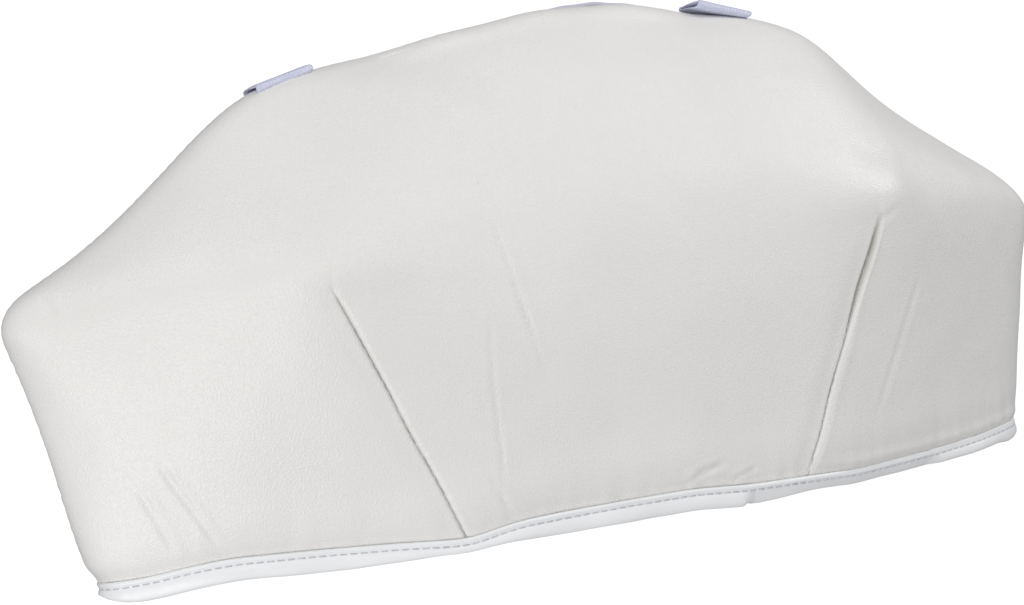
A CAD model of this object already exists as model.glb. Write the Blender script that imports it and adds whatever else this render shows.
"""Looks of a padded spa bolster pillow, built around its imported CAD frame.

Blender works in metres in the part's own frame: +Z out of the padded front, +X across, +Y from the
bound bottom seam up to the top edge with the loops. The form is worked out in millimetres, with Y
measured from the bottom seam, and to_row() turns it into the part's frame.
"""
from itertools import combinations
from math import asin, atan2, cos, pi, radians, sin, sqrt

import bmesh
import bpy
import numpy as np
from mathutils import Matrix, Vector, noise
from mathutils.bvhtree import BVHTree


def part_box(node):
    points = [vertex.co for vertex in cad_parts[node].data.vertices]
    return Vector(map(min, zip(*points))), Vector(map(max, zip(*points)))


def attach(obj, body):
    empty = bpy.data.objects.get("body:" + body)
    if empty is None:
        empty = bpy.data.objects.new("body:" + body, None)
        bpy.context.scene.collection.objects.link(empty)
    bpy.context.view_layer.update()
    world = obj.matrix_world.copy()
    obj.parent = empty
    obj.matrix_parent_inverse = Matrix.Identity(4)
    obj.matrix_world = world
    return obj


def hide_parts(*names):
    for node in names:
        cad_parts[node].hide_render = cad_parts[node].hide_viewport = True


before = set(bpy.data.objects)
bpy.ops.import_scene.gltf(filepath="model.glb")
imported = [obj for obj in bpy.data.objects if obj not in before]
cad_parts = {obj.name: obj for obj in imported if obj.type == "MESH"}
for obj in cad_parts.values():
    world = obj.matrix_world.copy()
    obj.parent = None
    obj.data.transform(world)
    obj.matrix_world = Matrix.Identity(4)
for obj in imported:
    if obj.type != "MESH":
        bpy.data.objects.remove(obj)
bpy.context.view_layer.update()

MM = 0.001

# ---------------------------------------------------------------- form, in millimetres
FLANGE = 9.0
TAPE = 0.6
SEAM_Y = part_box("front_cover")[0].y / MM + FLANGE - TAPE
BACK_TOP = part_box("back_binding")[1].z / MM
EDGE_RADIUS = 14.0
VINYL = 1.2
WADDING = 4.0
BACK_PROUD = 1.5
BOTTOM_HALF = 213.0
SHOULDER = (240.0, 115.0)
TOP_HALF = 131.0
TOP_CORNER_RISE = 189.0
RISE = 210.0
TOP_SPANS = 6
RUNOUT = 40.0
DART_FOOT = np.array([77.0, 0.0, 46.5])
DART_HEAD = np.array([125.5, 110.0, 60.0])
DART_TIP_Y = 102.0
ARCH_DROP = RISE - TOP_CORNER_RISE
ARCH_RADIUS = (TOP_HALF**2 + ARCH_DROP**2) / (2 * ARCH_DROP)
ROLL_END = radians(142)

CENTRE_COLUMNS = 23  # coarse cells from the middle to a dart
WING_COLUMNS = 29  # coarse cells from a dart to the side
ROWS = 38
ROLL_ROWS = 6
SUBDIVISIONS = 2
PATH_STEP = 0.8  # between sections of the two tapes
STITCH_PITCH = 4.0


def smoothstep(low, high, value):
    t = np.clip((np.asarray(value, float) - low) / (high - low), 0, 1)
    return t * t * (3 - 2 * t)


# How the real pillow's upper edge leaves the true outline: across, and how far up, in millimetres
PULL = np.array([
    (-250, -10), (-228, -13), (-214, -14.5), (-200, -13.5), (-176, -9), (-152, -3.5), (-128, -2.5),
    (-95, -2.5), (-76, -0.3), (-60, 0.3), (-25, 2.8), (5, 6.2), (40, 7.8), (60, 7.4), (80, 5.4), (108, 4.4),
    (128, 2.5), (148, -4.8), (172, -10.5), (200, -14), (228, -17), (250, -17),
], float)

# The same for its bottom seam, which isn't straight either
SEAM_PULL = np.array([
    (-225, 0.5), (-213, 0.9), (-196, 1.4), (-184, 3.0), (-167, 4.0), (-134, 2.2), (-106, 0.2), (-77, -2.6),
    (-55, 0.8), (-33, 1.3), (2, 1.3), (24, 0.9), (49, -1.3), (77, -2.2), (105, -3.6), (149, -2.4),
    (179, -0.7), (200, 1.2), (213, 2.8), (225, 3.2),
], float)


def pull(points):
    """How far the real cover is pulled from the true cut at each point."""
    x, y = points[..., 0], points[..., 1]
    spread = np.linspace(-1, 1, 7)
    upper = np.mean([np.interp(x + 9 * s, PULL[:, 0], PULL[:, 1]) for s in spread], 0)
    lower = np.mean([np.interp(x + 6 * s, SEAM_PULL[:, 0], SEAM_PULL[:, 1]) for s in spread], 0)
    shift = np.zeros_like(points)
    shift[..., 0] = -2.8 * smoothstep(180, 215, -x) * np.exp(-(((y - 14) / 30) ** 2)) * smoothstep(-1, 9, y)
    shift[..., 0] -= 4.0 * smoothstep(205, 238, x) * np.exp(-(((y - 120) / 14) ** 2))
    shift[..., 0] -= 1.2 * smoothstep(205, 238, -x) * np.exp(-(((y - 112) / 14) ** 2))
    shift[..., 1] = upper * smoothstep(70, 175, y) + lower * (1 - smoothstep(4, 60, y))
    return shift


def to_row(points):
    """Millimetres from the bottom seam to metres in the part's frame."""
    points = np.array(points, float)
    return (points + pull(points) + (0, SEAM_Y, 0)) * MM


def from_row(points):
    """Metres in the part's frame to millimetres from the bottom seam."""
    pulled = np.array(points, float) / MM - (0, SEAM_Y, 0)
    points = pulled.copy()
    for _ in range(6):
        points = pulled - pull(points)
    return points


def arch_point(angle):
    return np.array([ARCH_RADIUS * sin(angle), RISE - ARCH_RADIUS * (1 - cos(angle))])


def back_outline():
    """Corners of the back's outline, run out below the bottom seam, counter-clockwise."""
    slope = (SHOULDER[0] - BOTTOM_HALF) / SHOULDER[1]
    half = asin(TOP_HALF / ARCH_RADIUS)
    arch = [arch_point(half * (1 - 2 * i / TOP_SPANS)) for i in range(TOP_SPANS + 1)]
    right = [(BOTTOM_HALF - slope * RUNOUT, -RUNOUT), SHOULDER]
    return np.array([*right, *arch, *[(-x, y) for x, y in reversed(right)]])


def moved_in(polygon, amount):
    """A polygon with each side moved inwards."""
    moved = []
    for before, at, after in zip(np.roll(polygon, 1, 0), polygon, np.roll(polygon, -1, 0)):
        first, second = at - before, after - at
        normals = np.array([(-first[1], first[0]), (-second[1], second[0])])
        normals /= np.linalg.norm(normals, axis=1)[:, None]
        moved.append(at + np.linalg.solve(normals, [amount, amount]))
    return np.array(moved)


INSET = moved_in(back_outline(), EDGE_RADIUS)


def facet_planes():
    """Front facets of the hull that the pillow is grown from, as unit normal and distance."""
    corners = [(x, y, EDGE_RADIUS) for x, y in INSET]
    below = DART_FOOT + (DART_HEAD - DART_FOOT) * (INSET[:, 1].min() / DART_HEAD[1])
    for side in (-1, 1):
        corners += [DART_HEAD * (side, 1, 1), below * (side, 1, 1)]
    corners = np.array(corners)
    planes = []
    for a, b, c in combinations(corners, 3):
        normal = np.cross(b - a, c - a)
        length = np.linalg.norm(normal)
        if length < 1e-6 or abs(normal[2]) < 0.05 * length:
            continue
        normal *= np.sign(normal[2]) / length
        if (corners @ normal - a @ normal).max() < 1e-4:
            plane = np.append(normal, a @ normal)
            if not any(np.allclose(plane, p, atol=1e-4) for p in planes):
                planes.append(plane)
    return np.array(planes)


FACETS = facet_planes()


def softness(x, y):
    """How far the ridges are rounded off: little at the darts, more on the wings, most in the middle."""
    middle = 1 - smoothstep(55, 112, np.abs(x))
    wings = smoothstep(128, 160, np.abs(x))
    upper = (0.5 + 4.0 * middle + 1.6 * wings) * smoothstep(85, 118, y)
    return 1.2 + upper + 0.6 * smoothstep(150, 215, np.abs(x))


def reach(base, direction, radius, soft):
    """Distance from each base point along its direction to the rounded facets."""
    towards = direction @ FACETS[:, :3].T
    gap = FACETS[:, 3] + radius - base @ FACETS[:, :3].T
    far = np.where(towards > 0.02, gap / np.maximum(towards, 0.02), 1e4)
    nearest = far.min(-1, keepdims=True)
    soft = np.asarray(soft, float)[..., None]
    return (nearest - soft * np.log(np.exp(-(far - nearest) / soft).sum(-1, keepdims=True)))[..., 0]


def front_height(x, y, radius=EDGE_RADIUS):
    """Height of the padded front over a point."""
    base = np.stack([x, y, np.full(np.shape(x), EDGE_RADIUS)], -1).astype(float)
    up = np.zeros_like(base)
    up[..., 2] = 1
    return EDGE_RADIUS + reach(base, up, radius, softness(x, y))


def graded(count, length, fine, width):
    """Distances from 0 to length, closer together near 0."""
    s = np.linspace(0, length, 2000)
    density = 1 + (1 / fine - 1) * np.exp(-((s / width) ** 2))
    total = np.concatenate([[0], np.cumsum((density[1:] + density[:-1]) / 2)])
    return np.interp(np.linspace(0, 1, count + 1), total / total[-1], s)


def travelled(path):
    """Distance from the start of a polyline to each of its points."""
    return np.concatenate([[0], np.cumsum(np.linalg.norm(np.diff(path, axis=0), axis=1))])


def along(path, distances):
    """Points at these distances along a polyline."""
    total = travelled(path)
    return np.stack([np.interp(distances, total, path[:, k]) for k in range(path.shape[1])], -1)


def plan_grid(low_y):
    """Coarse grid over the inset outline: rows from the bottom seam to the top, columns fanning out."""
    side_low, side_high = INSET[0], INSET[1]
    foot_x = side_low[0] + (side_high[0] - side_low[0]) * (low_y - side_low[1]) / (side_high[1] - side_low[1])
    top = np.array([(0, INSET[5][1]), INSET[4], INSET[3], INSET[2], INSET[1]])
    corner, shoulder = INSET[2], INSET[1]
    head = DART_HEAD[:2] - DART_FOOT[:2]
    slope = shoulder - corner
    k = np.linalg.solve(np.array([head, -slope]).T, corner - DART_FOOT[:2])[1]
    arch_length = np.linalg.norm(np.diff(top[:4], axis=0), axis=1).sum()
    dart_top = arch_length + k * np.linalg.norm(slope)
    full = arch_length + np.linalg.norm(slope)
    dart_x = DART_FOOT[0]
    centre = dart_x - graded(CENTRE_COLUMNS, dart_x, 0.4, 9)[::-1]
    wing = dart_x + graded(WING_COLUMNS, foot_x - dart_x, 0.4, 9)[1:]
    foot = np.concatenate([centre, wing])
    head_at = np.concatenate([centre / dart_x * dart_top,
                              dart_top + (wing - dart_x) / (foot_x - dart_x) * (full - dart_top)])
    tops = along(top, head_at)
    feet = np.stack([foot, np.full_like(foot, low_y)], -1)
    mirror = np.array([-1, 1])
    feet = np.concatenate([feet[:0:-1] * mirror, feet])
    tops = np.concatenate([tops[:0:-1] * mirror, tops])
    rise = graded(ROWS, 1.0, 0.5, 0.12)[:, None, None]
    return feet + (tops - feet) * rise


def smoothed(values, arc, width):
    """Gaussian average along an open path, the path carried on straight past its ends."""
    reflected = np.concatenate([2 * values[0] - values[:0:-1], values, 2 * values[-1] - values[-2::-1]])
    arcs = np.concatenate([2 * arc[0] - arc[:0:-1], arc, 2 * arc[-1] - arc[-2::-1]])
    step = np.gradient(arcs)
    weight = np.exp(-(((arc[:, None] - arcs[None]) / width) ** 2)) * step
    return weight @ reflected / weight.sum(1, keepdims=True)


def roll_base(loop):
    """Rounded base line of the roll, and the direction out of it, for the rim of the plan grid."""
    arc = travelled(loop)
    soft = smoothed(loop, arc, 4.8)
    tangent = np.gradient(soft, arc, axis=0)
    tangent = smoothed(tangent, arc, 4.0)
    out = np.stack([tangent[:, 1], -tangent[:, 0]], -1)
    out /= np.linalg.norm(out, axis=1)[:, None]
    true_x = np.abs(out[:, 0])
    level = 1 - smoothstep(0, 16, loop[:, 1] - loop[0, 1])
    out[:, 1] *= 1 - level
    out /= np.linalg.norm(out, axis=1)[:, None]
    stretch = 1 + level * (1 / np.maximum(true_x, 0.5) - 1)
    return soft, out, stretch


def cover_points(radius, low_y=0.0):
    """Vertices of the padded front and its roll, and the index of each in the grid and the strip."""
    plan = plan_grid(low_y)
    rows, columns = plan.shape[:2]
    heights = front_height(plan[..., 0], plan[..., 1], radius)
    points = np.concatenate([plan, heights[..., None]], -1).reshape(-1, 3)
    index = np.arange(rows * columns).reshape(rows, columns)
    rim = np.concatenate([index[:, -1], index[-1, -2::-1], index[-2::-1, 0]])
    loop = points[rim][:, :2]
    soft, out, stretch = roll_base(loop)
    least = np.full(len(rim), 1e4)
    strip = [rim]
    turns = np.linspace(0, ROLL_END, ROLL_ROWS * 8 + 1)[1:]
    for n, angle in enumerate(turns, 1):
        blend = smoothstep(0, radians(40), angle)
        base = np.concatenate([loop + (soft - loop) * blend, np.full((len(rim), 1), EDGE_RADIUS)], -1)
        direction = np.concatenate([out * sin(angle), np.full((len(rim), 1), cos(angle))], -1)
        distance = reach(base, direction, radius, softness(loop[:, 0], loop[:, 1]))
        distance = np.where(angle < radians(80), distance, np.minimum(distance, radius))
        least = np.minimum(least, distance)
        if n % 8 == 0:
            grown = np.maximum(least, radius * 0.6) * (1 + (stretch - 1) * sin(angle))
            strip.append(np.arange(len(points), len(points) + len(rim)))
            points = np.concatenate([points, base + direction * grown[:, None]])
    return points, index, np.array(strip)


def quads(index):
    """Faces of a grid of vertex numbers."""
    return np.stack([index[:-1, :-1], index[:-1, 1:], index[1:, 1:], index[1:, :-1]], -1).reshape(-1, 4)


def mesh_object(name, points, faces):
    """A new object from millimetre points and lists of vertex numbers."""
    mesh = bpy.data.meshes.new(name)
    mesh.from_pydata(to_row(points).tolist(), [], [list(map(int, f)) for f in faces])
    mesh.validate()
    mesh.update()
    for polygon in mesh.polygons:
        polygon.use_smooth = True
    piece = bpy.data.objects.new(name, mesh)
    bpy.context.scene.collection.objects.link(piece)
    return piece


def coordinates(mesh):
    values = np.zeros(len(mesh.vertices) * 3)
    mesh.vertices.foreach_get("co", values)
    return values.reshape(-1, 3)


def set_coordinates(mesh, values):
    mesh.vertices.foreach_set("co", np.asarray(values, np.float32).ravel())
    mesh.update()


def normals(mesh):
    values = np.zeros(len(mesh.vertices) * 3, np.float32)
    mesh.vertex_normals.foreach_get("vector", values)
    return values.reshape(-1, 3)


def apply_modifiers(piece):
    """Leaves the piece with its evaluated mesh and no modifiers."""
    bpy.context.view_layer.update()
    graph = bpy.context.evaluated_depsgraph_get()
    mesh = bpy.data.meshes.new_from_object(piece.evaluated_get(graph))
    piece.modifiers.clear()
    old, piece.data = piece.data, mesh
    bpy.data.meshes.remove(old)
    for polygon in mesh.polygons:
        polygon.use_smooth = True


# ---------------------------------------------------------------- front cover
PUFF_CAP = 7.0
PRESSURE = 4.0
PUFF_FRAMES = 20


def puff(piece, pinned):
    """Blows the cover up between its pinned seams with the cloth solver, then caps the movement."""
    group = piece.vertex_groups.new(name="pin")
    group.add([int(i) for i in pinned], 1.0, "REPLACE")
    cloth = piece.modifiers.new("puff", "CLOTH")
    settings = cloth.settings
    settings.quality = 6
    settings.mass = 0.25
    settings.tension_stiffness = 30
    settings.compression_stiffness = 30
    settings.shear_stiffness = 12
    settings.bending_stiffness = 2.0
    settings.use_pressure = True
    settings.uniform_pressure_force = PRESSURE
    settings.effector_weights.gravity = 0
    settings.vertex_group_mass = "pin"
    cloth.collision_settings.use_collision = False
    cloth.point_cache.frame_start = 1
    cloth.point_cache.frame_end = PUFF_FRAMES
    start = coordinates(piece.data)
    scene = bpy.context.scene
    for step in range(1, PUFF_FRAMES + 1):
        scene.frame_set(step)
    graph = bpy.context.evaluated_depsgraph_get()
    moved = coordinates(piece.evaluated_get(graph).data) - start
    piece.modifiers.clear()
    piece.vertex_groups.clear()
    scene.frame_set(1)
    distance = np.linalg.norm(moved, axis=1, keepdims=True)
    cap = PUFF_CAP * MM
    set_coordinates(piece.data, start + moved / np.maximum(distance, 1e-9) * cap * np.tanh(distance / cap))


def wander(values, seed, waves, low, high):
    """Smooth irregular curve through values, about -1 to 1, of waves between two wavelengths."""
    rng = np.random.default_rng(seed)
    lengths = np.exp(rng.uniform(np.log(low), np.log(high), waves))
    phases = rng.uniform(0, 2 * pi, waves)
    total = sum(np.sin(2 * pi * np.asarray(values) / l + p) for l, p in zip(lengths, phases))
    return total / sqrt(waves)


def lumps(points, scale, seed):
    """Perlin noise of this scale at millimetre points."""
    shift = Vector((17.3 * seed, -9.1 * seed, 4.7 * seed))
    return np.array([noise.noise(Vector(p / scale) + shift) for p in points])


def crease(x, y, path, depth, width, lip=0.35):
    """A soft fold along a hand-drawn line: a narrow valley with raised sides, fading at its ends."""
    path = np.array(path, float)
    fine = along(path, np.linspace(0, np.linalg.norm(np.diff(path, axis=0), axis=1).sum(), 60))
    gap = np.full(x.shape, 1e9)
    where = np.zeros(x.shape)
    for i, (px, py) in enumerate(fine):
        far = (x - px) ** 2 + (y - py) ** 2
        closer = far < gap
        gap = np.where(closer, far, gap)
        where = np.where(closer, i / (len(fine) - 1), where)
    gap = np.abs(np.sqrt(gap) + 0.15 * wander(x + y, 61, 4, 9, 30))
    depth = depth * (0.9 + 0.12 * wander(x - y, 62, 4, 8, 26))
    fade = smoothstep(0, 0.2, where) * (1 - smoothstep(0.75, 1, where))
    valley = -np.exp(-((gap / width) ** 2))
    sides = lip * np.exp(-(((gap - 2.2 * width) / (1.2 * width)) ** 2))
    return depth * fade * (valley + sides)


CREASES = [
    # line from the bottom seam's frame, depth, half-width
    ([(-56, 186), (-55, 160), (-53, 137), (-50, 110), (-46, 88), (-41, 66), (-35, 46)], 0.85, 1.15),
    ([(-59, 88), (-61, 68), (-61, 50), (-60, 28), (-61, 8)], 0.5, 1.05),
    ([(-190, 47), (-184, 33), (-178, 21), (-170, 5)], 0.75, 1.05),
    ([(-197, 37), (-190, 18), (-185, 4)], 0.6, 1.0),
    ([(-66, 22), (-61, 11), (-58, 3)], 0.4, 1.3),
    ([(18, 2), (27, 7), (39, 11)], 0.7, 1.3),
    ([(41, 3), (46, 5), (53, 7)], 0.55, 1.1),
    ([(68, 174), (70, 156), (74, 137)], 0.3, 1.4),
    ([(-222, 121), (-220, 116), (-219, 108)], 0.35, 1.4),
    ([(145, 78), (137, 62), (129, 46), (121, 31), (113, 17)], 0.34, 1.4),
]


def dart(x, y, side):
    """Sewn dart: a tucked groove with a lip on one side, fading into a pucker at its tip."""
    foot, head = DART_FOOT[:2] * (side, 1), DART_HEAD[:2] * (side, 1)
    way = (head - foot) / np.linalg.norm(head - foot)
    length = (DART_TIP_Y - foot[1]) / way[1]
    s = ((x - foot[0]) * way[0] + (y - foot[1]) * way[1])
    d = ((x - foot[0]) * way[1] - (y - foot[1]) * way[0]) * side
    d = d + 0.25 * wander(s, 11 + side, 3, 30, 90)
    t = s / length
    start = smoothstep(-0.02, 0.03, t) if side < 0 else smoothstep(0.0, 0.12, t)
    held = start * (1 - smoothstep(0.9, 1.03, t))
    near = smoothstep(-0.06, 0.05, t) * (1 - smoothstep(0.7, 1.1, t))
    if side < 0:
        groove = 0.5 + 0.1 * t
        height = -1.7 * held * np.exp(-np.abs(d) / groove)
        height += near * (0.12 * np.exp(-(((d + 2.0) / 1.4) ** 2)) - 0.6 * np.exp(-(((d - 2.5) / 5.0) ** 2)))
    else:
        wide = smoothstep(0.45, 0.8, t)
        groove = 0.5 + 1.5 * wide
        height = -1.6 * (1 - wide) * held * np.exp(-np.abs(d) / 0.5)
        height -= 1.7 * wide * held * np.exp(-((d / 1.35) ** 4))
        height += near * (0.3 * np.exp(-(((d - 3.4) / 1.8) ** 2)) - 0.8 * np.exp(-(((d + 3.0) / 5.0) ** 2)))
        height += 0.45 * wide * held * np.exp(-(((d - 2.3) / 0.8) ** 2))
    height += -0.07 * held * np.cos(2 * pi * s / 4.8) * np.exp(-((d / 2.6) ** 2))
    tip = np.array([foot[0] + way[0] * length, DART_TIP_Y])
    for turn, strength, arm in ((52, 0.32, 12), (-30, 0.22, 9)):
        angle = radians(turn) * -side
        ray = np.array([way[0] * cos(angle) - way[1] * sin(angle), way[0] * sin(angle) + way[1] * cos(angle)])
        line = [tip - way * 3, tip + ray * arm * 0.5, tip + ray * arm]
        height += crease(x, y, line, strength, 1.3, 0.25)
    return height, held * np.exp(-((d / (0.55 * groove)) ** 2))


def front_relief(points):
    """Seams, darts and creases of the cover, as a distance along its normal."""
    x, y, z = points.T
    seam = np.maximum(y, 0)
    face = smoothstep(EDGE_RADIUS - 2, EDGE_RADIUS + 10, z)
    over = smoothstep(70, 110, x)
    relief = -(1.3 - 0.5 * over) * np.exp(-((seam / 3.6) ** 2))
    relief += 0.9 * over * np.exp(-(((seam - 3.2) / 3.0) ** 2))
    relief += 0.2 * np.exp(-(seam / 9.0)) * wander(x, 3, 7, 7, 26) * smoothstep(0, 3, seam)
    relief += 0.6 * np.exp(-(((seam - 13) / 9) ** 2))
    relief += 1.5 * np.exp(-(((y - 122) / 14) ** 2)) * (1 - smoothstep(60, 125, np.abs(x)))
    shade = 0.5 * np.exp(-((seam / 0.9) ** 2)) * (0.35 + 0.65 * smoothstep(20, 80, x))
    for side in (-1, 1):
        height, deep = dart(x, y, side)
        relief += height
        shade = np.maximum(shade, deep * face)
    for line, depth, width in CREASES:
        relief += crease(x, y, line, depth, width)
    relief *= face
    relief += 0.55 * lumps(points, 46.0, 1) + 0.22 * lumps(points, 17.0, 2) * (0.4 + 0.6 * face)
    low = 1 - smoothstep(0, 26, z)
    relief += 0.16 * low * wander(x + 1.7 * y, 5, 6, 6, 15)
    return relief, shade


def front_cover():
    points, index, strip = cover_points(EDGE_RADIUS)
    faces = np.concatenate([quads(index), quads(strip)[:, ::-1]])
    piece = mesh_object("cover", points, faces)
    dart_columns = [WING_COLUMNS, index.shape[1] - 1 - WING_COLUMNS]
    tips = points[index[:, dart_columns[1]], 1] < DART_TIP_Y
    pinned = np.concatenate([index[0], strip[:, 0], strip[:, -1], strip[-1], strip[-2],
                             *[index[tips, c] for c in dart_columns]])
    puff(piece, np.unique(pinned))
    subdivide = piece.modifiers.new("fine", "SUBSURF")
    subdivide.levels = subdivide.render_levels = SUBDIVISIONS
    subdivide.boundary_smooth = "PRESERVE_CORNERS"
    apply_modifiers(piece)
    at = from_row(coordinates(piece.data))
    relief, shade = front_relief(at)
    set_coordinates(piece.data, to_row(at + normals(piece.data) * relief[:, None]))
    crevice = piece.data.attributes.new("crevice", "FLOAT", "POINT")
    crevice.data.foreach_set("value", shade.astype(np.float32))
    return piece


# ---------------------------------------------------------------- tapes, stitches and loops
def sweep(name, path, out, ring, across=(0, 0, 1), closed=False):
    """A ring of (outward, across) points carried along a path. ring may be a function of the step."""
    across = np.array(across, float)
    count = len(path)
    rings = [np.array(ring(i) if callable(ring) else ring, float) for i in range(count)]
    size = len(rings[0])
    points = np.concatenate([p + r[:, :1] * o + r[:, 1:] * across for p, o, r in zip(path, out, rings)])
    index = np.arange(count * size).reshape(count, size)
    index = np.concatenate([index, index[:, :1]], 1)
    if closed:
        index = np.concatenate([index, index[:1]], 0)
    faces = quads(index).tolist()
    if not closed:
        faces += [index[0, :-1][::-1].tolist(), index[-1, :-1].tolist()]
    return mesh_object(name, points, faces)


def fix_normals(piece):
    """Turns every face outwards."""
    shape = bmesh.new()
    shape.from_mesh(piece.data)
    bmesh.ops.recalc_face_normals(shape, faces=shape.faces)
    shape.to_mesh(piece.data)
    shape.free()
    return piece


def bottom_profile(y, radius, step):
    """Line over the front and down both rolls at a level, evenly spaced, with its normals."""
    side_low, side_high = INSET[0], INSET[1]
    half = side_low[0] + (side_high[0] - side_low[0]) * (y - side_low[1]) / (side_high[1] - side_low[1])
    x = np.linspace(-half, half, 900)
    top = np.stack([x, np.full_like(x, y), front_height(x, np.full_like(x, y), radius)], -1)
    tilt = abs(atan2(top[-1, 2] - top[-30, 2], top[-1, 0] - top[-30, 0]))
    join = radius * (1 / cos(tilt) - 1)
    turns = np.linspace(tilt * 0.5, ROLL_END, 90)
    grow = radius + np.maximum(0, join * (1 - turns / tilt))
    wide = 1 / 0.977
    out_x, up_z = half + np.sin(turns) * grow * wide, EDGE_RADIUS + np.cos(turns) * grow
    right = np.stack([out_x, np.full_like(turns, y), up_z], -1)
    left = right[::-1] * (-1, 1, 1)
    line = np.concatenate([left, top[8:-8], right])
    length = np.linalg.norm(np.diff(line, axis=0), axis=1).sum()
    line = along(line, np.linspace(0, length, int(length / step) + 1))
    tangent = np.gradient(line, axis=0)
    out = np.stack([-tangent[:, 2], np.zeros(len(line)), tangent[:, 0]], -1)
    out /= np.linalg.norm(out, axis=1)[:, None]
    return line, out


def capsule(length, radius, sides=8, rounds=3):
    """Rounded bar along X, as points and faces."""
    rows = []
    for end in (-1, 1):
        turns = np.linspace(0, pi / 2, rounds + 1)[1:]
        part = [(end * (length / 2 - radius + radius * cos(t)), radius * sin(t)) for t in turns]
        rows += part if end < 0 else part[::-1]
    angles = np.arange(sides) * 2 * pi / sides
    points = [(x, r * cos(a), r * sin(a)) for x, r in rows for a in angles]
    index = np.arange(len(points)).reshape(len(rows), sides)
    faces = quads(np.concatenate([index, index[:, :1]], 1)).tolist()
    points += [(-length / 2, 0, 0), (length / 2, 0, 0)]
    for k in range(sides):
        faces.append([len(points) - 2, int(index[0, (k + 1) % sides]), int(index[0, k])])
        faces.append([len(points) - 1, int(index[-1, k]), int(index[-1, (k + 1) % sides])])
    return np.array(points), faces


def stitches(name, places, length, radius, sag=0.25, flat=0.8):
    """One piece of many stitches. Each place is a point, the way along it and the way out of it."""
    bar, bar_faces = capsule(length, radius)
    points, faces = [], []
    rng = np.random.default_rng(len(places))
    for at, way, out in places:
        way = way / np.linalg.norm(way)
        out = out - way * (out @ way)
        out /= np.linalg.norm(out)
        side = np.cross(out, way)
        lean = radians(rng.normal(0, 2.5))
        turned_way = way * cos(lean) + side * sin(lean)
        turned_side = side * cos(lean) - way * sin(lean)
        bend = -sag * (2 * bar[:, :1] / length) ** 2
        start = sum(map(len, points))
        level = at + bar[:, :1] * turned_way + bar[:, 1:2] * turned_side
        points.append(level + (bar[:, 2:] * flat + bend) * out)
        faces += [[i + start for i in f] for f in bar_faces]
    return mesh_object(name, np.concatenate(points), faces)


def tape_section(i, line):
    """Section of the bottom tape where it is i steps along: (outward, down) pairs round the ring."""
    x = line[i, 0]
    edge = 8.1 + 0.12 * wander(x, 21, 6, 20, 80)
    narrower = smoothstep(60, 85, x) * (1 - smoothstep(192, 206, x))
    edge -= 3.2 * np.exp(-(((x + 80) / 28) ** 2)) + 1.9 * narrower
    edge -= 1.0 * np.exp(-(((x - 47.5) / 1.8) ** 2))
    edge += 0.4 * np.exp(-(((x - 54) / 4.0) ** 2))
    corner = np.clip((abs(x) - 199) / 14.6, 0, 1)
    edge = 2.7 + (edge - 2.7) * sqrt(1 - corner**2)
    kink = 0.4 * np.exp(-(((x + 78) / 4.0) ** 2))
    swell = 0.08 * wander(x, 23, 5, 14, 40)
    lip = (0.85 + 0.08 * wander(x, 24, 5, 8, 30) - kink) * (1 - 0.7 * smoothstep(70, 110, x))
    band = [(0.75 + swell, 0.2), (0.85 + swell, 0.55), (0.7 + swell, 0.8), (0.3 + 0.5 * swell, 0.94),
            (-0.5, 1.0), (-1.8, 1.0), (-2.7, 0.93), (-3.0, 0.75), (-3.1, 0.4)]
    ring = [(-3.0, 0.4), (-1.2, -0.7), (0.0, -0.9), (lip * 0.7, -0.6), (lip, -0.05), (lip * 0.9, 0.6),
            (0.4, 1.15), (0.05, 1.75), (0.4, 2.35)]
    ring += [(o, 2.4 + (edge - 2.4) * k) for o, k in band]
    turn = radians(26) * smoothstep(44, 52, x) * (1 - smoothstep(146, 158, x))
    turn += radians(3) * wander(x, 25, 4, 40, 110)
    c, s = cos(turn), sin(turn)
    return [(o * c - d * s * smoothstep(0.5, 4.0, d), o * s * 0.5 + d * c) for o, d in ring]


def bottom_tape():
    line, out = bottom_profile(-0.2, EDGE_RADIUS, PATH_STEP)
    return fix_normals(sweep("bottom_tape", line, out, lambda i: tape_section(i, line), (0, -1, 0)))


def bottom_tape_stitches():
    line, out = bottom_profile(-0.2, EDGE_RADIUS, STITCH_PITCH)
    places = []
    for i in range(2, len(line) - 2):
        down = np.array([0, -1.75, 0.0])
        places.append((line[i] + down + out[i] * 0.28, line[i + 1] - line[i - 1], out[i]))
    return stitches("bottom_tape_stitches", places, 2.9, 0.34)


def rim_path(proud, step=PATH_STEP):
    """Closed line round the back seam, this far out past the roll, with its outward directions."""
    plan = plan_grid(0.0)
    loop = np.concatenate([plan[:, -1], plan[-1, -2::-1], plan[-2::-1, 0]])
    arc = travelled(loop)
    loop = along(loop, np.arange(0, arc[-1], PATH_STEP))
    soft, out, _ = roll_base(loop)
    side = soft + out * (EDGE_RADIUS + proud)
    low = -FLANGE
    slope = (SHOULDER[0] - BOTTOM_HALF) / SHOULDER[1]
    corner = np.array([side[0, 0] + slope * low, low])
    turn = np.linspace(0, 1, 12)[:, None]
    first, last = side[0] * (1, 0) + (slope * (low + 5), low + 5), corner - (5, 0)
    bend = (1 - turn) ** 2 * last + 2 * turn * (1 - turn) * corner + turn**2 * first
    ring = np.concatenate([bend, side[2:-2], bend[::-1] * (-1, 1)])
    ring = np.concatenate([ring, ring[:1]])
    length = np.linalg.norm(np.diff(ring, axis=0), axis=1).sum()
    ring = along(ring, np.linspace(0, length, int(length / step) + 1)[:-1])
    tangent = np.roll(ring, -1, 0) - np.roll(ring, 1, 0)
    normal = np.stack([tangent[:, 1], -tangent[:, 0]], -1)
    normal /= np.linalg.norm(normal, axis=1)[:, None]
    flat = np.zeros((len(ring), 1))
    return np.concatenate([ring, flat], 1), np.concatenate([normal, flat], 1)


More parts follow.
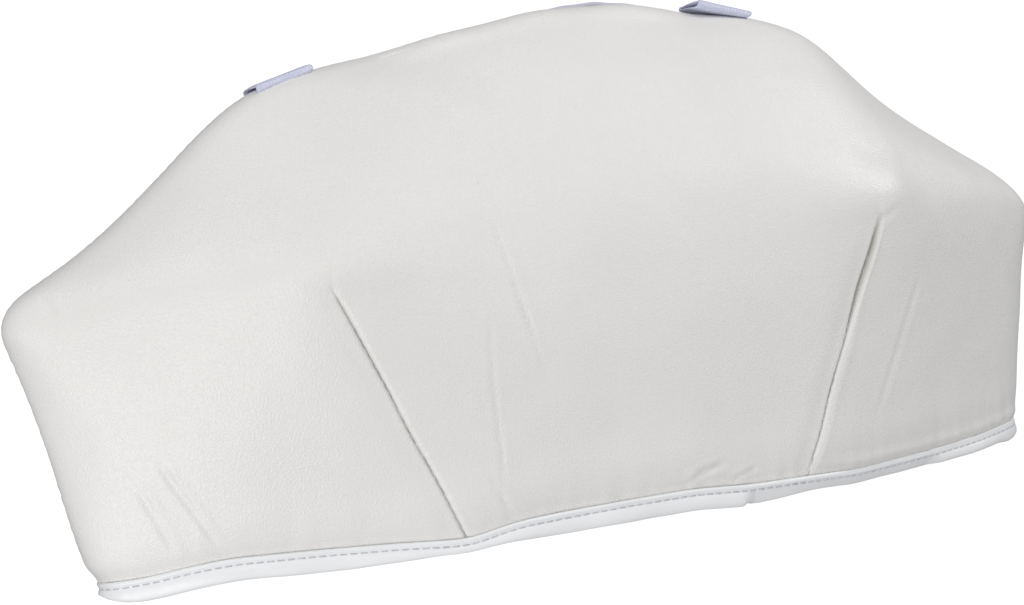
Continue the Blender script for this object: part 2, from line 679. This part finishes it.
def tucked(line, out):
    """The back seam drawn in under the puffed roll, and the corners of its lower edge with it."""
    x, y = line[:, 0], line[:, 1]
    amount = 5.8 - 1.6 * smoothstep(5, 35, x) * smoothstep(120, 180, y)
    amount -= 1.3 * smoothstep(-232, -215, x) * (1 - smoothstep(-150, -128, x))
    amount += 2.2 * smoothstep(-95, -60, x) * (1 - smoothstep(-10, 20, x)) * smoothstep(120, 180, y)
    amount += 1.8 * np.exp(-(((x - 91) / 20) ** 2)) * smoothstep(120, 180, y)
    high = smoothstep(-6, 25, y)
    moved = line - out * (amount * high)[:, None]
    moved[:, 0] -= np.sign(x) * 5.8 * (1 - high) * smoothstep(190, 212, np.abs(x))
    return moved


def back_tape():
    line, out = rim_path(BACK_PROUD)
    line = tucked(line, out)
    arc = np.arange(len(line)) * PATH_STEP
    wave = 0.25 * wander(arc, 31, 6, 14, 60)
    lift = 0.12 * wander(arc, 32, 6, 9, 30)
    top = BACK_TOP

    def ring(i):
        w, h = wave[i], lift[i]
        return [(-8.6, 0.0), (-1.2 + w, 0.0), (-0.4 + w, 0.25), (w, 0.9), (w, top - 0.9),
                (-0.4 + w, top - 0.25), (-1.2 + w, top), (-2.4, top - 0.25 + h), (-4.0, top - 0.05 + h),
                (-7.6, top), (-8.6, top - 0.5), (-8.8, 0.6)]

    return fix_normals(sweep("back_tape", line, out, ring, closed=True))


def back_tape_stitches():
    line, out = rim_path(BACK_PROUD)
    line = tucked(line, out)
    places = []
    step = 5
    for i in range(0, len(line), step):
        at = line[i]
        if at[1] > 4:
            way = line[(i + 1) % len(line)] - line[i - 1]
            places.append((at - out[i] * 2.4 + (0, 0, BACK_TOP - 0.1), way, np.array([0, 0, 1.0])))
            places.append((at - out[i] * 2.4 + (0, 0, 0.22), way, np.array([0, 0, 1.0])))
    return stitches("back_tape_stitches", places, 2.8, 0.26, sag=0.0)


def dart_stitches(name, tree, side):
    """Thread that shows in a dart's groove, laid on the finished cover."""
    foot, head = DART_FOOT * (side, 1, 1), DART_HEAD * (side, 1, 1)
    way = (head - foot) / np.linalg.norm(head - foot)
    places = []
    count = 20
    for i in range(count):
        at = foot + way * (2.4 + 4.8 * i)
        hit = tree.ray_cast(Vector(to_row([at[0], at[1], 90.0])), Vector((0, 0, -1)))[0]
        if hit is not None:
            places.append((from_row(list(hit)) + (0, 0, 0.2), way, np.array([0, 0, 1.0])))
    return stitches(name, places, 3.0, 0.3)


LOOP_TUCK = 3.6
LOOP_ROOT = (1.3, 2.0)
LOOP_FOLD = (0.4, 19.0)
WEBBING = 1.2
WEBBING_WIDTH = 26.0
LOOPS = [  # side, shift along the edge, depth below it, how far its outer end gapes, slant, tilt
    ("left", 2.5, 1.2, 0.1, -0.2, -1.2),
    ("right", 3.2, 1.2, 0.6, -1.0, 0.8),
]


def loop_frame(node, shift, sink):
    """Where a webbing loop stands: its middle on the arched edge, the way along it and the way out."""
    low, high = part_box(node)
    middle = (low + high) / 2 / MM + Vector((shift, 0, 0))
    angle = asin(middle.x / ARCH_RADIUS)
    for _ in range(3):
        angle = asin((middle.x - (BACK_PROUD + 2.0) * sin(angle)) / ARCH_RADIUS)
    at = arch_point(angle)
    way = np.array([cos(angle), -sin(angle), 0])
    out = np.array([sin(angle), cos(angle), 0])
    return np.array([at[0], at[1], 0]) + out * (BACK_PROUD + 0.45 - LOOP_TUCK - sink), way, out


def webbing_loop(name, node, shift, sink, open_end, shear, tilt):
    """Folded webbing: a flat woven band going up from its sewn root, over a fold and back down."""
    at, way, out = loop_frame(node, shift, sink)
    root, fold = np.array(LOOP_ROOT), np.array(LOOP_FOLD)
    columns = 40
    turns = 22
    widths = np.linspace(-1, 1, columns + 1) * WEBBING_WIDTH / 2
    rows = []
    up = np.linspace(0, 1, 16)
    for w in widths:
        wide = 1 + open_end * 0.75 * smoothstep(-1, 1, -w / (WEBBING_WIDTH / 2))
        r0, r1 = 0.75, 1.05 * wide
        lean = tilt * w / WEBBING_WIDTH
        centre = fold + (0, lean)
        front = [(root[0] + r0 + (centre[0] + r1 - root[0] - r0) * u + 0.35 * sin(pi * u),
                  root[1] + (centre[1] - root[1]) * u, 0.0) for u in up]
        top = [(centre[0] + r1 * cos(a), centre[1] + r1 * sin(a), 0.5 * (1 - cos(a)))
               for a in np.linspace(0, pi, turns)[1:-1]]
        back = [(root[0] - r0 + (centre[0] - r1 - root[0] + r0) * u, root[1] + (centre[1] - root[1]) * u, 1.0)
                for u in up[::-1]]
        under = [(root[0] + r0 * cos(a), root[1] + r0 * sin(a), 0.5)
                 for a in np.linspace(pi, 2 * pi, 8)[1:-1]]
        section = front + top + back + under
        rows.append([at + way * (w + shear * k) + out * o + np.array([0, 0, h]) for o, h, k in section])
    rows = np.array(rows)
    flow = np.roll(rows, -1, 1) - np.roll(rows, 1, 1)
    cross = np.cross(flow, np.broadcast_to(way, flow.shape))
    cross /= np.linalg.norm(cross, axis=2, keepdims=True)
    edge = np.sqrt(np.clip(1 - (np.abs(widths) / (WEBBING_WIDTH / 2)) ** 24, 0.02, 1))[:, None, None]
    skins = []
    for face in (1, -1):
        skins.append(rows + cross * face * WEBBING / 2 * edge)
    outer, inner = skins
    count, around = outer.shape[:2]
    points = np.concatenate([outer.reshape(-1, 3), inner.reshape(-1, 3)])
    index = np.arange(count * around).reshape(count, around)
    index = np.concatenate([index, index[:, :1]], 1)
    low = index + count * around
    faces = quads(index).tolist() + quads(low)[:, ::-1].tolist()
    for end in (0, -1):
        faces += quads(np.stack([index[end], low[end]])).tolist()
    return fix_normals(mesh_object(name, points, faces))


def loop_tacks(name, node, shift, sink):
    """Bar tack that holds a loop's ends: short threads side by side on the tape."""
    at, way, out = loop_frame(node, shift, sink)
    places = []
    count = 26
    for i in range(count):
        along_bar = (i - (count - 1) / 2) * (WEBBING_WIDTH - 1) / count
        spot = at + way * along_bar - out * (0.45 + 2.4) + np.array([0, 0, BACK_TOP + 0.1])
        places.append((spot, out + way * 0.25 * (-1) ** i, np.array([0, 0, 1.0])))
    return stitches(name, places, 2.2, 0.24, sag=0.1)


# ---------------------------------------------------------------- hidden and underside pieces
def thicken(piece, thickness, offset):
    """Gives a sheet its thickness, in millimetres, to the outer side for an offset of 1."""
    thick = piece.modifiers.new("thick", "SOLIDIFY")
    thick.thickness = thickness * MM
    thick.offset = offset


def back_panel():
    """Flat back, its rim tucked into the back tape, with faint puckers along the seam."""
    line, _ = rim_path(-6.0, step=2.0)
    centre = np.array([0, 100.0, 0])
    rings = []
    arc = np.arange(len(line)) * 2.0
    pucker = wander(arc, 41, 7, 8, 24)
    for k in np.linspace(1, 0.02, 44):
        ring = centre + (line - centre) * k
        depth = (1 - k) * 100
        height = 0.75 * np.exp(-depth / 6.0) + 0.22 * (1 + pucker) * np.exp(-depth / 12.0)
        height += 0.12 * (1 + lumps(ring, 30.0, 4))
        ring[:, 2] = height
        rings.append(ring)
    points = np.concatenate(rings)
    index = np.arange(len(points)).reshape(len(rings), len(line))
    index = np.concatenate([index, index[:, :1]], 1)
    faces = quads(index).tolist() + [index[-1, :-1].tolist()]
    piece = mesh_object("back_panel_vinyl", points, faces)
    thicken(piece, VINYL, 1.0)
    fix_normals(piece)
    apply_modifiers(piece)
    at = coordinates(piece.data)
    at[:, 2] -= at[:, 2].min()
    set_coordinates(piece.data, at)
    return fix_normals(piece)


def bottom_panel():
    """Bow-shaped end panel behind the bottom seam, pushed out a little by the foam."""
    columns, rows = 220, 36
    half = BOTTOM_HALF - 5.0
    x = np.linspace(-half, half, columns + 1)
    inner = np.sqrt(np.clip(11.0**2 - (np.abs(x) - 199.0) ** 2, 0, None)) + EDGE_RADIUS
    crest = np.where(np.abs(x) > 199.0, inner, front_height(x, np.zeros_like(x), 11.5))
    low = 1.9
    v = np.linspace(0, 1, rows + 1)[:, None]
    z = low + (crest - low) * v
    xs = np.broadcast_to(x, z.shape)
    span = np.clip((crest - low) / 50.0, 0.15, 1)
    bulge = 4.6 * span * np.sin(pi * v) ** 0.7 * (1 - (np.abs(xs) / half) ** 6)
    edge = np.minimum(v, 1 - v) * (crest - low)
    pucker = 0.4 * np.exp(-edge / 5.0) * wander(xs, 51, 7, 7, 22)
    y = -(bulge + pucker * smoothstep(0, 2, edge))
    points = np.stack([xs, y, z], -1).reshape(-1, 3)
    index = np.arange(len(points)).reshape(rows + 1, columns + 1)
    piece = mesh_object("bottom_panel_vinyl", points, quads(index))
    thicken(piece, VINYL, -1.0)
    apply_modifiers(piece)
    return fix_normals(piece)


def foam_block():
    """Cut foam block with the pillow's form, closed at the bottom and the back."""
    radius = EDGE_RADIUS - VINYL - WADDING - 0.2
    points, index, strip = cover_points(radius, 2.0)
    points = points + 0.25 * lumps(points, 4.0, 6)[:, None]
    faces = [list(f) for f in quads(index)] + [list(f[::-1]) for f in quads(strip)]
    faces.append([*strip[::-1, -1], *index[0][1:-1], *strip[:, 0]])
    faces.append(list(strip[-1]))
    return fix_normals(mesh_object("foam_block", points, faces))


def wadding_layer():
    """Wadding laid over the foam, open at the bottom panel."""
    points, index, strip = cover_points(EDGE_RADIUS - VINYL - WADDING, 2.0)
    piece = mesh_object("wadding_layer", points, np.concatenate([quads(index), quads(strip)[:, ::-1]]))
    thicken(piece, 2.0, 1.0)
    apply_modifiers(piece)
    return fix_normals(piece)


# ---------------------------------------------------------------- materials
def new_material(name, color, roughness, specular=0.5, sheen=0.0, subsurface=0.0):
    """Principled material with its constant values on its own sockets."""
    material = bpy.data.materials.new(name)
    material.use_nodes = True
    shader = material.node_tree.nodes["Principled BSDF"]
    shader.inputs["Base Color"].default_value = (*color, 1)
    shader.inputs["Roughness"].default_value = roughness
    shader.inputs["Specular IOR Level"].default_value = specular
    if sheen:
        shader.inputs["Sheen Weight"].default_value = sheen
        shader.inputs["Sheen Roughness"].default_value = 0.6
    if subsurface:
        shader.inputs["Subsurface Weight"].default_value = subsurface
        shader.inputs["Subsurface Radius"].default_value = (0.003, 0.003, 0.003)
        shader.inputs["Subsurface Scale"].default_value = 0.5
    return material, material.node_tree, shader


def node(tree, kind, **values):
    made = tree.nodes.new(kind)
    for key, value in values.items():
        if key in made.inputs:
            made.inputs[key].default_value = value
        else:
            setattr(made, key, value)
    return made


def vary_color(tree, shader, height, dark, light, low=0.35, high=0.65):
    """Base colour that drifts between two near shades with a noise."""
    ramp = node(tree, "ShaderNodeValToRGB")
    ramp.color_ramp.elements[0].position = low
    ramp.color_ramp.elements[0].color = (*dark, 1)
    ramp.color_ramp.elements[1].position = high
    ramp.color_ramp.elements[1].color = (*light, 1)
    tree.links.new(height, ramp.inputs["Fac"])
    tree.links.new(ramp.outputs["Color"], shader.inputs["Base Color"])
    return ramp


def object_space(tree):
    return node(tree, "ShaderNodeTexCoord").outputs["Object"]


def noise_of(tree, scale, detail=2.0, roughness=0.5):
    made = node(tree, "ShaderNodeTexNoise", Scale=scale, Detail=detail, Roughness=roughness)
    tree.links.new(object_space(tree), made.inputs["Vector"])
    return made.outputs["Fac"]


def bump(tree, shader, height, strength, distance, below=None):
    made = node(tree, "ShaderNodeBump", Strength=strength, Distance=distance)
    tree.links.new(height, made.inputs["Height"])
    if below is not None:
        tree.links.new(below, made.inputs["Normal"])
    tree.links.new(made.outputs["Normal"], shader.inputs["Normal"])
    return made.outputs["Normal"]


def vary_roughness(tree, shader, height, low, high):
    made = node(tree, "ShaderNodeMapRange")
    made.inputs["To Min"].default_value = low
    made.inputs["To Max"].default_value = high
    tree.links.new(height, made.inputs["Value"])
    tree.links.new(made.outputs["Result"], shader.inputs["Roughness"])


def vinyl_material(name, dark, light, roughness, grain=0.2, soiled=None):
    """Upholstery vinyl: pebbled leather grain with finer pores, and a slow drift of tone and gloss."""
    material, tree, shader = new_material(name, light, roughness, 0.42)
    cells = node(tree, "ShaderNodeTexVoronoi", Scale=1500.0, Randomness=1.0)
    cells.feature = "SMOOTH_F1"
    warp = node(tree, "ShaderNodeTexNoise", Scale=400.0, Detail=2.0)
    tree.links.new(object_space(tree), warp.inputs["Vector"])
    mixed = node(tree, "ShaderNodeVectorMath", operation="MULTIPLY_ADD")
    mixed.inputs[1].default_value = (0.0006, 0.0006, 0.0006)
    tree.links.new(warp.outputs["Color"], mixed.inputs[0])
    tree.links.new(object_space(tree), mixed.inputs[2])
    tree.links.new(mixed.outputs["Vector"], cells.inputs["Vector"])
    first = bump(tree, shader, cells.outputs["Distance"], grain, 0.00018)
    second = bump(tree, shader, noise_of(tree, 2600.0, 3.0, 0.6), grain * 0.7, 0.00010, first)
    bump(tree, shader, noise_of(tree, 130.0, 3.0, 0.55), 0.06, 0.0007, second)
    tone = vary_color(tree, shader, noise_of(tree, 22.0, 3.0), dark, light)
    if soiled:
        mask = node(tree, "ShaderNodeAttribute", attribute_name="crevice")
        mixer = node(tree, "ShaderNodeMix", data_type="RGBA")
        mixer.inputs["B"].default_value = (*soiled, 1)
        tree.links.new(mask.outputs["Fac"], mixer.inputs["Factor"])
        tree.links.new(tone.outputs["Color"], mixer.inputs["A"])
        tree.links.new(mixer.outputs["Result"], shader.inputs["Base Color"])
    vary_roughness(tree, shader, noise_of(tree, 60.0, 2.0), roughness - 0.01, roughness + 0.02)
    return material


def satin_material(name, dark, light, roughness):
    """Folded binding tape with a smooth satin face and faint rumpling along the seam."""
    material, tree, shader = new_material(name, light, roughness, 0.5)
    first = bump(tree, shader, noise_of(tree, 1900.0, 2.0), 0.12, 0.00008)
    bump(tree, shader, noise_of(tree, 210.0, 3.0), 0.22, 0.0006, first)
    vary_color(tree, shader, noise_of(tree, 45.0, 2.0), dark, light)
    vary_roughness(tree, shader, noise_of(tree, 80.0), roughness - 0.05, roughness + 0.08)
    return material


def woven_material(name, dark, light, rib_x, rib_z, strength, sheen=0.25):
    """Ribbed weave: crossed ribs of two pitches in metres, with fibre noise between them."""
    material, tree, shader = new_material(name, light, 0.8, 0.3, sheen)
    split = node(tree, "ShaderNodeSeparateXYZ")
    tree.links.new(object_space(tree), split.inputs[0])
    waves = []
    for axis, pitch in (("X", rib_x), ("Z", rib_z)):
        scaled = node(tree, "ShaderNodeMath", operation="MULTIPLY")
        scaled.inputs[1].default_value = 2 * pi / pitch
        tree.links.new(split.outputs[axis], scaled.inputs[0])
        wave = node(tree, "ShaderNodeMath", operation="SINE")
        tree.links.new(scaled.outputs[0], wave.inputs[0])
        waves.append(wave.outputs[0])
    crossed = node(tree, "ShaderNodeMath", operation="MULTIPLY")
    tree.links.new(waves[0], crossed.inputs[0])
    tree.links.new(waves[1], crossed.inputs[1])
    total = node(tree, "ShaderNodeMath", operation="ADD")
    tree.links.new(crossed.outputs[0], total.inputs[0])
    tree.links.new(waves[1], total.inputs[1])
    first = bump(tree, shader, total.outputs[0], strength, 0.00025)
    bump(tree, shader, noise_of(tree, 3200.0, 3.0, 0.7), 0.25, 0.0001, first)
    vary_color(tree, shader, total.outputs[0], dark, light, 0.0, 1.0)
    return material


def thread_material():
    """Spun polyester thread, twisted."""
    material, tree, shader = new_material("thread", (0.62, 0.64, 0.68), 0.55, 0.4, 0.3)
    twist = node(tree, "ShaderNodeTexWave", Scale=900.0, Distortion=1.5)
    twist.bands_direction = "DIAGONAL"
    tree.links.new(object_space(tree), twist.inputs["Vector"])
    bump(tree, shader, twist.outputs["Fac"], 0.5, 0.0001)
    vary_color(tree, shader, noise_of(tree, 700.0), (0.50, 0.52, 0.56), (0.66, 0.68, 0.72))
    return material


def foam_material():
    """Open-cell foam."""
    material, tree, shader = new_material("foam", (0.86, 0.80, 0.62), 0.9, 0.2, subsurface=0.2)
    cells = node(tree, "ShaderNodeTexVoronoi", Scale=1400.0)
    tree.links.new(object_space(tree), cells.inputs["Vector"])
    bump(tree, shader, cells.outputs["Distance"], 0.7, 0.0004)
    vary_color(tree, shader, cells.outputs["Distance"], (0.62, 0.56, 0.40), (0.88, 0.83, 0.66), 0.0, 0.8)
    return material


def wadding_material():
    """Lofty polyester wadding."""
    material, tree, shader = new_material("wadding", (0.90, 0.90, 0.89), 0.95, 0.15, 0.4)
    first = bump(tree, shader, noise_of(tree, 900.0, 5.0, 0.75), 0.6, 0.0006)
    bump(tree, shader, noise_of(tree, 120.0, 3.0), 0.4, 0.002, first)
    vary_color(tree, shader, noise_of(tree, 300.0, 4.0), (0.84, 0.84, 0.83), (0.93, 0.93, 0.92))
    return material


def floor_material():
    """Plain pale studio floor."""
    material, tree, shader = new_material("floor", (0.93, 0.93, 0.93), 0.9, 0.1)
    shader.inputs["Emission Color"].default_value = (1, 1, 1, 1)
    shader.inputs["Emission Strength"].default_value = FLOOR_GLOW
    vary_color(tree, shader, noise_of(tree, 3.0), (0.925, 0.925, 0.925), (0.935, 0.935, 0.935))
    return material


# ---------------------------------------------------------------- light and camera
FLOOR_GLOW = 0.50
WORLD = 0.315
LAMPS = [  # name, direction, distance, size, diffuse brightness it gives a white face turned to it
    ("key", (-0.66, -0.30, 0.69), 1.5, 0.9, 0.43),
    ("sheen", (-0.27, 0.36, 0.88), 1.5, 0.3, 0.085),
    ("front", (0.10, -0.90, 0.45), 1.3, 0.8, 0.07),
    ("slope", (-0.45, 0.80, 0.40), 1.3, 0.5, 0.15),
    ("top", (0.35, 0.85, 0.40), 1.3, 0.8, 0.12),
    ("right", (0.80, 0.55, 0.25), 1.3, 0.4, 0.27),
]
TURN = radians(22)
ROLL = radians(-7.76)
CAMERA_AT = Vector((-0.3425, -0.0139, 0.7959))
FOCAL = 2000 / 1024 * 36


def area_light(name, place, target, size, power):
    """Soft panel of light."""
    light = bpy.data.lights.new(name, "AREA")
    light.shape = "DISK"
    light.size = size
    light.energy = power
    light.color = (1.0, 0.995, 0.985)
    lamp = bpy.data.objects.new(name, light)
    bpy.context.scene.collection.objects.link(lamp)
    lamp.location = place
    lamp.rotation_euler = (target - place).to_track_quat("-Z", "Y").to_euler()


def studio():
    """Pale floor, soft light from the upper left and the photo's camera.

    The floor gives no bounce or reflection, so the pillow's edges stay darker than the ground.
    """
    scene = bpy.context.scene
    bpy.ops.mesh.primitive_plane_add(size=8, location=(0, 0, -0.0002))
    floor = bpy.context.object
    floor.name = "floor"
    floor.data.materials.append(floor_material())
    floor.visible_diffuse = False
    floor.visible_glossy = False
    world = bpy.data.worlds.new("studio")
    scene.world = world
    world.use_nodes = True
    background = world.node_tree.nodes["Background"]
    background.inputs["Color"].default_value = (0.97, 0.98, 1.0, 1)
    background.inputs["Strength"].default_value = WORLD
    aim = Vector((0, 0, 0.03))
    for name, way, far, size, strength in LAMPS:
        place = aim + Vector(way).normalized() * far
        area_light(name, place, aim, size, strength * (pi * far) ** 2)
    camera = bpy.data.cameras.new("camera")
    camera.sensor_width = 36
    camera.lens = FOCAL
    camera.clip_start = 0.02
    eye = bpy.data.objects.new("camera", camera)
    scene.collection.objects.link(eye)
    forward = Vector((sin(TURN), 0, -cos(TURN)))
    level = Vector((cos(TURN), 0, sin(TURN)))
    upright = Vector((0, 1, 0))
    right = level * cos(ROLL) + upright * sin(ROLL)
    up = upright * cos(ROLL) - level * sin(ROLL)
    turn = Matrix((right, up, -forward)).transposed().to_4x4()
    eye.matrix_world = Matrix.Translation(CAMERA_AT) @ turn
    scene.camera = eye
    scene.view_settings.view_transform = "Standard"


# ---------------------------------------------------------------- the pillow
def dress(piece, material, nodes, body="pillow"):
    """Gives a piece its material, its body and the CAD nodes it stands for."""
    piece.data.materials.clear()
    piece.data.materials.append(material)
    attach(piece, body)
    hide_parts(*nodes)
    return piece


def build():
    soiled = (0.42, 0.395, 0.345)
    cover_vinyl = vinyl_material("vinyl", (0.848, 0.836, 0.818), (0.866, 0.855, 0.838), 0.33, 1.0, soiled)
    plain_vinyl = vinyl_material("vinyl_back", (0.775, 0.768, 0.757), (0.81, 0.803, 0.792), 0.46, 0.16)
    tape = satin_material("binding", (0.885, 0.90, 0.915), (0.91, 0.925, 0.94), 0.34)
    back_weave = woven_material("binding_back", (0.66, 0.66, 0.80), (0.74, 0.74, 0.86), 0.0009, 0.0007, 0.35)
    webbing = woven_material("webbing", (0.66, 0.68, 0.86), (0.75, 0.77, 0.93), 0.0016, 0.0009, 0.6)
    thread = thread_material()

    cover = dress(front_cover(), cover_vinyl, ["front_cover"])
    tree = BVHTree.FromObject(cover, bpy.context.evaluated_depsgraph_get())
    foam = dress(foam_block(), foam_material(), ["foam_core"])
    wadding = dress(wadding_layer(), wadding_material(), ["wadding_wrap"])
    dress(back_panel(), plain_vinyl, ["back_panel"])
    dress(bottom_panel(), plain_vinyl, ["bottom_panel"])
    dress(bottom_tape(), tape, ["bottom_binding"])
    dress(bottom_tape_stitches(), thread, ["bottom_binding_stitches"])
    dress(back_tape(), back_weave, ["back_binding"])
    dress(back_tape_stitches(), thread, ["back_binding_stitches"])
    for side, word in ((-1, "left"), (1, "right")):
        threads = dart_stitches(f"dart_thread_{word}", tree, side)
        dress(threads, thread, [f"dart_stitches_{word}"])
    for word, shift, sink, open_end, shear, tilt in LOOPS:
        band = webbing_loop(f"loop_band_{word}", f"webbing_loop_{word}", shift, sink, open_end, shear, tilt)
        dress(band, webbing, [f"webbing_loop_{word}"], f"loop_{word}")
        tacks = loop_tacks(f"loop_bar_tack_{word}", f"webbing_loop_{word}", shift, sink)
        dress(tacks, thread, [f"loop_tacks_{word}"])


build()
studio()
